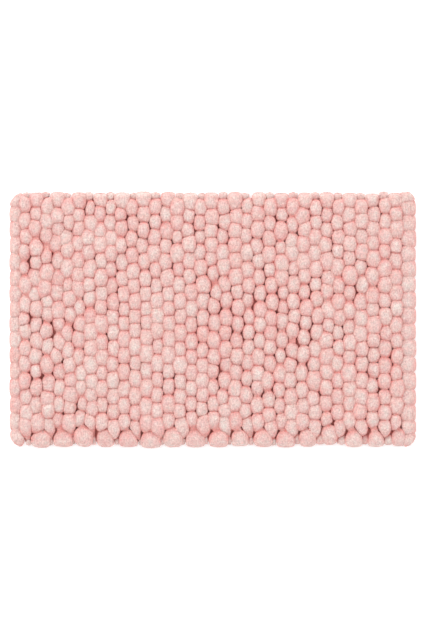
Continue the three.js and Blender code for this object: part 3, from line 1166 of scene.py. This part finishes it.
# ================================================================ the pieces under the rows
LABEL_MARGIN = 3.0 * MM  # uncoated cloth round the label
LABEL_THICKNESS = 0.22 * MM
HEM_LEAF = 1.2 * MM  # thickness of the fold that lies under the mat
HEM_WALL = 1.6 * MM  # thickness of the fold that goes up the end of the cloth
HEM_CHAMFER = 0.6 * MM
SEAM_DENT = 0.62 * MM
SEAM_DENT_REACH = 0.55 * MM
STITCH_PITCH = 3.3 * MM
STITCH_SHARE = 0.84  # length of a stitch, as a share of the pitch
STITCH_LOW = 0.36 * MM
STITCH_LIFT = 0.35 * MM
STRAND_SHARE = 0.52  # radius of a strand, as a share of the cord's
CORD_LAY = 13.0 * MM  # along the cord for one turn of a strand


def finish_piece(piece, material, slot, *cad_nodes):
    """Gives a piece its material, rides it on the mat and lets it stand for CAD nodes. The slot is not
    used.
    """
    piece.data.materials.append(material)
    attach(piece, "root")
    if cad_nodes:
        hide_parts(*cad_nodes)
    return piece


def box_corners(cad_node):
    """The lowest and highest corners of a CAD node, as arrays."""
    low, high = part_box(cad_node)
    return np.array(low), np.array(high)


def on_rim(x, y, low, high):
    """1 on the outermost grid lines of a slab and 0 inside them, which rounds its edges off."""
    inset = np.minimum(np.minimum(x - low[0], high[0] - x), np.minimum(y - low[1], high[1] - y))
    return inset < FINE_STEP / 2


def lay_ground_cloth():
    """The woven ground: a thin slab that ripples a little under each row of roving."""
    low, high = CLOTH_LOW, CLOTH_HIGH
    slack = 0.12 * MM
    grid_x = grid_lines(low[0], high[0], ROW_PITCH / 4)
    grid_y = grid_lines(low[1], high[1], 9 * MM)
    x, y = np.meshgrid(grid_x, grid_y, indexing="ij")
    ripple = slack * np.cos(TURN * x / ROW_PITCH)
    rounding = 0.45 * MM * on_rim(x, y, low, high)
    bottom = low[2] + slack + ripple + rounding
    top = high[2] - slack + ripple - rounding
    inside = np.ones((len(grid_x) - 1, len(grid_y) - 1), bool)
    return make_mesh("ground_weave", *slab_arrays(grid_x, grid_y, inside, bottom, top))


def spray_latex():
    """The coating: a thin slab between the hems, uneven as sprayed, with a notch for the label."""
    low, high = box_corners("latex_backing")
    label_low, label_high = box_corners("care_label")
    notch_x = label_low[0] - LABEL_MARGIN
    notch_low = label_low[1] - LABEL_MARGIN
    notch_high = label_high[1] + LABEL_MARGIN
    grid_x = grid_lines(low[0], high[0], 5 * MM, notch_x)
    grid_y = grid_lines(low[1], high[1], 5 * MM, notch_low, notch_high)
    x, y = np.meshgrid(grid_x, grid_y, indexing="ij")
    middle_x = ((grid_x[1:] + grid_x[:-1]) / 2)[:, None]
    middle_y = ((grid_y[1:] + grid_y[:-1]) / 2)[None, :]
    in_notch = (middle_x > notch_x) & (middle_y > notch_low) & (middle_y < notch_high)
    place = np.stack([x, y], axis=-1)
    unevenness = 0.10 * MM * np.clip(1 + ripples(place, 26 * MM, 301), 0, 2)
    rim = on_rim(x, y, low, high)
    bottom = low[2] + unevenness + 0.35 * MM * rim
    top = high[2] + 0 * x - 0.1 * MM * rim
    return make_mesh("latex_coating", *slab_arrays(grid_x, grid_y, ~in_notch, bottom, top))


def fold_hem(name, side):
    """The folded header at one end: a rounded L section carried along Y, dented along its seam."""
    low, high = box_corners("end_hem_right")
    seam_low, seam_high = box_corners("hem_seam_right")
    seam_x = (seam_low[0] + seam_high[0]) / 2
    corners = np.array([
        (low[0], 0), (high[0] - HEM_CHAMFER, 0), (high[0], HEM_CHAMFER), (high[0], high[2]),
        (high[0] - HEM_WALL, high[2]), (high[0] - HEM_WALL, HEM_LEAF), (low[0], HEM_LEAF), (low[0], 0),
    ])
    reach = np.concatenate([[0], np.cumsum(np.linalg.norm(np.diff(corners, axis=0), axis=1))])
    count = 110
    spots = np.arange(count) / count * reach[-1]
    section = np.stack([np.interp(spots, reach, corners[:, axis]) for axis in (0, 1)], axis=-1)
    section = (np.roll(section, 1, axis=0) + section + np.roll(section, -1, axis=0)) / 3
    underside = section[:, 1] < HEM_LEAF / 2
    dent = SEAM_DENT * np.exp(-(((section[:, 0] - seam_x) / SEAM_DENT_REACH) ** 2))
    section[:, 1] += np.where(underside, dent, 0)
    if side < 0:
        section = section[::-1] * [-1, 1]
    stations = 48
    y = np.linspace(high[1] - 0.2 * MM, low[1] + 0.2 * MM, stations)
    rings = np.zeros((stations, count, 3))
    rings[:, :, 0] = section[:, 0]
    rings[:, :, 1] = y[:, None]
    rings[:, :, 2] = section[:, 1]
    middle = np.array([side * (high[0] - HEM_WALL / 2), 0, HEM_LEAF * 0.6])
    poles = np.stack([middle + [0, high[1], 0], middle + [0, low[1], 0]])
    points = np.concatenate([rings.reshape(-1, 3), poles])
    quads, triangles = tube_faces(stations, count)
    return make_mesh(name, points, quads, triangles)


def sew_stitches(name, cad_node):
    """The stitches of a hem: short threads along Y, which dip into the cloth at both ends.

    Along one stitch, from -1 to 1, the thread's height is its lowest plus its lift times the square.
    """
    low, high = box_corners(cad_node)
    length = high[1] - low[1]
    number = round(length / STITCH_PITCH)
    pitch = length / number
    run = np.linspace(-1, 1, 5)
    paths = np.zeros((number, len(run), 3))
    paths[:, :, 0] = (low[0] + high[0]) / 2
    paths[:, :, 1] = high[1] - (np.arange(number)[:, None] + 0.5) * pitch - STITCH_SHARE / 2 * pitch * run
    paths[:, :, 2] = STITCH_LOW + STITCH_LIFT * run**2
    points, quads, triangles, yarn = tubes(paths, (high[2] - low[2]) / 2, 6, (1, 0, 0))
    return make_mesh(name, points, quads, triangles, {"yarn": yarn})


def twist_cord(name, cad_node):
    """A three-ply selvedge cord: three strands, each a helix round the cord's middle line."""
    low, high = box_corners(cad_node)
    radius = (high[2] - low[2]) / 2
    middle = (low + high) / 2
    strand = STRAND_SHARE * radius
    x = np.arange(low[0] + strand, high[0] - strand, CORD_LAY / 10)
    angle = TURN * x / CORD_LAY + TURN * np.arange(3)[:, None] / 3
    path = np.stack([
        np.broadcast_to(x, angle.shape),
        middle[1] + (radius - strand) * np.cos(angle),
        middle[2] + (radius - strand) * np.sin(angle),
    ], axis=-1)
    points, quads, triangles, yarn = tubes(path, strand, 7, (0, 1, 0))
    return make_mesh(name, points, quads, triangles, {"yarn": yarn})


def lay_warp(line, tie_tops):
    """One binding warp: over the row at each of its ties, and under the pebbles between them.

    Along X its height is the low run plus a bump of the tie's height at each tie, which is 1 near
    the tie and falls to 0 beside it. Across, it runs straight from tie to tie.
    """
    parity = line % 2
    tie = (line - 1) // 2 if parity else line // 2 - 1
    spots = np.array([tie_tops[row][tie] for row in range(1, LAST_ROW) if row % 2 == parity])
    radius = WARP_DIAMETER / 2
    run_height = CLOTH_HIGH[2] + radius + 0.1 * MM
    side_steps = np.linspace(-6.6, 6.6, 13) * MM
    x = (spots[:, 0][:, None] + side_steps).ravel()
    climb = smooth_step(6.4 * MM, 0.8 * MM, np.abs(side_steps))
    crown = spots[:, 2][:, None] + 0.2 * radius
    z = (run_height + (crown - run_height) * climb).ravel()
    ends = CLOTH_HIGH[0] - 3 * MM
    x = np.concatenate([[-ends], x, [ends]])
    z = np.concatenate([[run_height], z, [run_height]])
    y = np.interp(x, spots[:, 0], spots[:, 1])
    path = np.stack([x, y, z], axis=-1)[None]
    points, quads, triangles, yarn = tubes(path, radius, 6, (0, 1, 0))
    return make_mesh(f"binding_warp_{line:02d}", points, quads, triangles, {"yarn": yarn})


def lay_label():
    """The blank label: a thin slab that waves a little."""
    low, high = box_corners("care_label")
    grid_x = grid_lines(low[0], high[0], 1.5 * MM)
    grid_y = grid_lines(low[1], high[1], 1.5 * MM)
    x, y = np.meshgrid(grid_x, grid_y, indexing="ij")
    wave = 0.05 * MM * np.clip(ripples(np.stack([x, y], axis=-1), 14 * MM, 401), -1, 1)
    inside = np.ones((len(grid_x) - 1, len(grid_y) - 1), bool)
    top = high[2] - 0.06 * MM + wave
    bottom = top - LABEL_THICKNESS
    return make_mesh("blank_label", *slab_arrays(grid_x, grid_y, inside, bottom, top))


# ================================================================ making the mat
fibres = build_fibre_group()
mottle = build_mottle_group()
weave = build_weave_group()
roving_material = make_roving_material(fibres, mottle)
bloom_material = make_bloom_material(mottle)
cloth_material = make_cloth_material(mottle, weave)
cord_material = make_yarn_material("plied_cord", fibres, CORD_COLOURS, 2600.0, 0.9)
warp_material = make_yarn_material("warp_yarn", fibres, WARP_COLOURS, 2600.0, 0.95)
thread_material = make_yarn_material("sewing_thread", fibres, THREAD_COLOURS, 6000.0, 0.6)
latex_material = make_latex_material(mottle, weave)
label_material = make_label_material(weave)

pebbles = lay_out_pebbles()
settle(pebbles)
limits = press_limits(pebbles)
tie_tops = {}
skins = {}
for index, cad_row in enumerate(ROW_NAMES):
    row = row_skin(index, pebbles, limits, tie_tops, skins)
    finish_piece(row, roving_material, "roving", cad_row)
for part, rows in enumerate(np.array_split(np.arange(ROW_COUNT), FIBRE_PIECES)):
    bloom = tease_fibres(f"loose_fibres_{part + 1}", [skins[index] for index in rows], 700 + part)
    finish_piece(bloom, bloom_material, "roving")
for line in range(1, 2 * PEBBLES_PER_ROW):
    finish_piece(lay_warp(line, tie_tops), warp_material, "cloth")

ground = finish_piece(lay_ground_cloth(), cloth_material, "cloth", "ground_cloth")
latex = finish_piece(spray_latex(), latex_material, "latex", "latex_backing")
label = finish_piece(lay_label(), label_material, "label", "care_label")

for end, side in (("left", -1), ("right", 1)):
    hem = finish_piece(fold_hem(f"folded_hem_{end}", side), cloth_material, "cloth", f"end_hem_{end}")
    seam = sew_stitches(f"stitches_{end}", f"hem_seam_{end}")
    finish_piece(seam, thread_material, "seam_thread", f"hem_seam_{end}")

for edge in ("front", "back"):
    cad_cord = f"selvedge_cord_{edge}"
    finish_piece(twist_cord(f"twisted_cord_{edge}", cad_cord), cord_material, "selvedge_cord", cad_cord)


# ================================================================ floor, light and camera
FLOOR_FLAT = 4.0  # the floor is flat to this distance, and has risen to its full height at its edge
FLOOR_EDGE = 9.0
FLOOR_RISE = 6.0

ROOM_BRIGHTNESS = 0.84
WINDOW_PLACE = (-2.0, 4.7, 3.8)
WINDOW_WIDTH = 3.0
WINDOW_POWER = 128  # watts

CAMERA_DISTANCE = 2.4
CAMERA_SHIFT = (1.2 * MM, -0.5 * MM)  # of the camera from the middle of the mat
MAT_SHARE_OF_FRAME = 0.9508  # length of the mat, as a share of the frame's width


def lay_floor():
    """A wide white sheet under the mat, which curves up far away on every side.

    Its height at a distance r from the middle is the sweep's height times a smooth step of r.
    """
    radius = np.concatenate([[0.2], np.linspace(FLOOR_FLAT, FLOOR_EDGE, 24)])
    sides = 96
    angle = TURN * np.arange(sides) / sides
    rise = FLOOR_RISE * smooth_step(FLOOR_FLAT, FLOOR_EDGE, radius)
    rings = np.stack([
        radius[:, None] * np.cos(angle),
        radius[:, None] * np.sin(angle),
        rise[:, None] + 0 * angle,
    ], axis=-1).reshape(-1, 3)
    quads, triangles = tube_faces(len(radius), sides)
    points = np.concatenate([rings, [(0, 0, 0), (0, 0, 0)]])
    floor = make_mesh("floor", points, quads, triangles[:sides])
    material, tree, shader = new_material("white_floor")
    set_inputs(tree, shader, {
        "Base Color": (0.96, 0.96, 0.96, 1),
        "Roughness": 1.0,
        "Specular IOR Level": 0.0,
        "Emission Color": (1, 1, 1, 1),
        "Emission Strength": 0.25,
    })
    floor.data.materials.append(material)


def light_the_scene():
    """A bright even room, with one large soft light from the back left, turned towards the mat."""
    world = bpy.data.worlds.new("white_room")
    world.use_nodes = True
    world.node_tree.nodes["Background"].inputs[0].default_value = (1, 1, 1, 1)
    world.node_tree.nodes["Background"].inputs[1].default_value = ROOM_BRIGHTNESS
    bpy.context.scene.world = world

    light = bpy.data.lights.new("window", "AREA")
    light.size = WINDOW_WIDTH
    light.energy = WINDOW_POWER
    window = bpy.data.objects.new("window", light)
    window.location = WINDOW_PLACE
    x, y, z = WINDOW_PLACE
    window.rotation_euler = (math.atan2(math.hypot(x, y), z), 0, math.atan2(-y, -x) - math.pi / 2)
    bpy.context.scene.collection.objects.link(window)


def place_camera():
    """Straight above the mat. The frame's width takes in the mat and a narrow margin."""
    frame_width = 2 * HALF_LENGTH / MAT_SHARE_OF_FRAME
    lens = bpy.data.cameras.new("camera")
    lens.sensor_fit = "HORIZONTAL"
    lens.sensor_width = 36
    lens.lens = lens.sensor_width * CAMERA_DISTANCE / frame_width
    lens.clip_end = 50
    camera = bpy.data.objects.new("camera", lens)
    camera.location = (*CAMERA_SHIFT, CAMERA_DISTANCE + MAT_TOP / 2)
    bpy.context.scene.collection.objects.link(camera)
    bpy.context.scene.camera = camera


lay_floor()
light_the_scene()
place_camera()
bpy.context.scene.view_settings.view_transform = "Standard"
